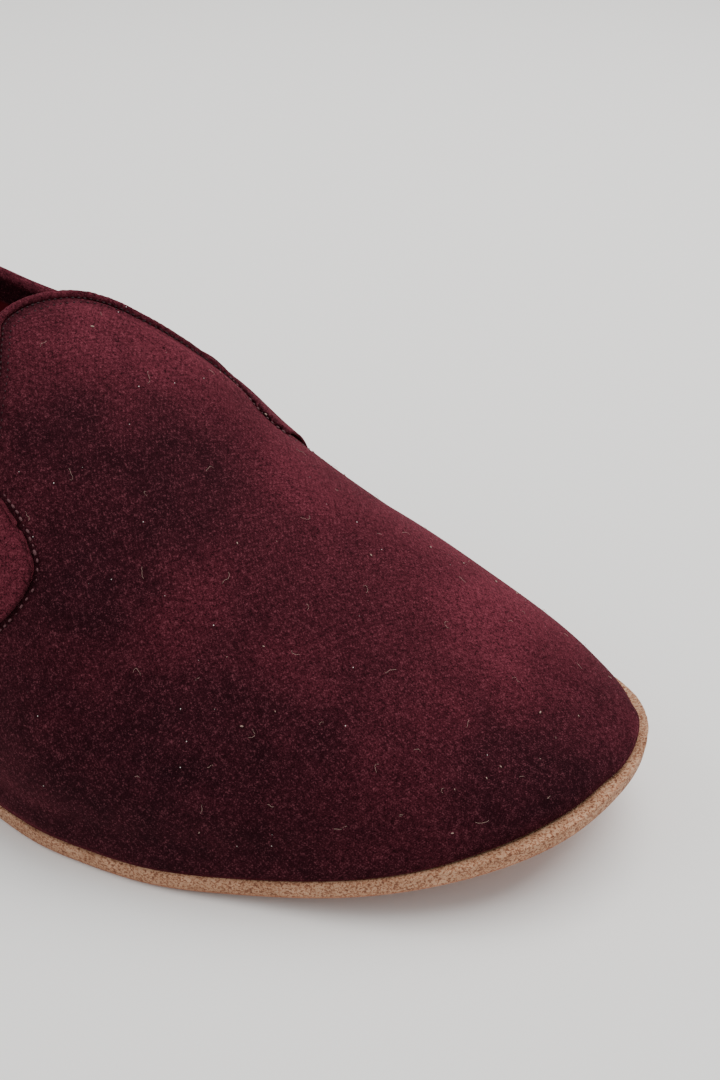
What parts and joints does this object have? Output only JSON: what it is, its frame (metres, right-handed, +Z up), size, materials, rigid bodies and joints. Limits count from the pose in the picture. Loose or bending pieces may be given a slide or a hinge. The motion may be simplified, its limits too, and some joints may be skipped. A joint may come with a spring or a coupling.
{
  "type": "velvet loafer",
  "caption": "Right velvet slip-on loafer with a broad piped tongue, lapped quarters, thin leather sole and a low stacked heel, open at the collar.",
  "frame": {"origin": "on the floor, at the centre of the shoe's bounding box seen from above", "axes": "+X towards the toe, +Y towards the inner side of the foot, +Z up"},
  "size_m": [0.2947, 0.1049, 0.0859],
  "materials": {
    "velvet": "burgundy cotton velvet with a short pile",
    "sole_leather": "undyed vegetable-tanned leather, raw fibrous edge",
    "heel_leather": "stacked leather lifts",
    "sock_leather": "crimson lining leather",
    "lining": "crimson lining cloth"
  },
  "bodies": {
    "root": {"outsole": "sole_leather", "heel": "heel_leather", "insole": "sock_leather", "upper": "velvet", "quarters": "velvet", "tongue_piping": "velvet"}
  },
  "joints": []
}
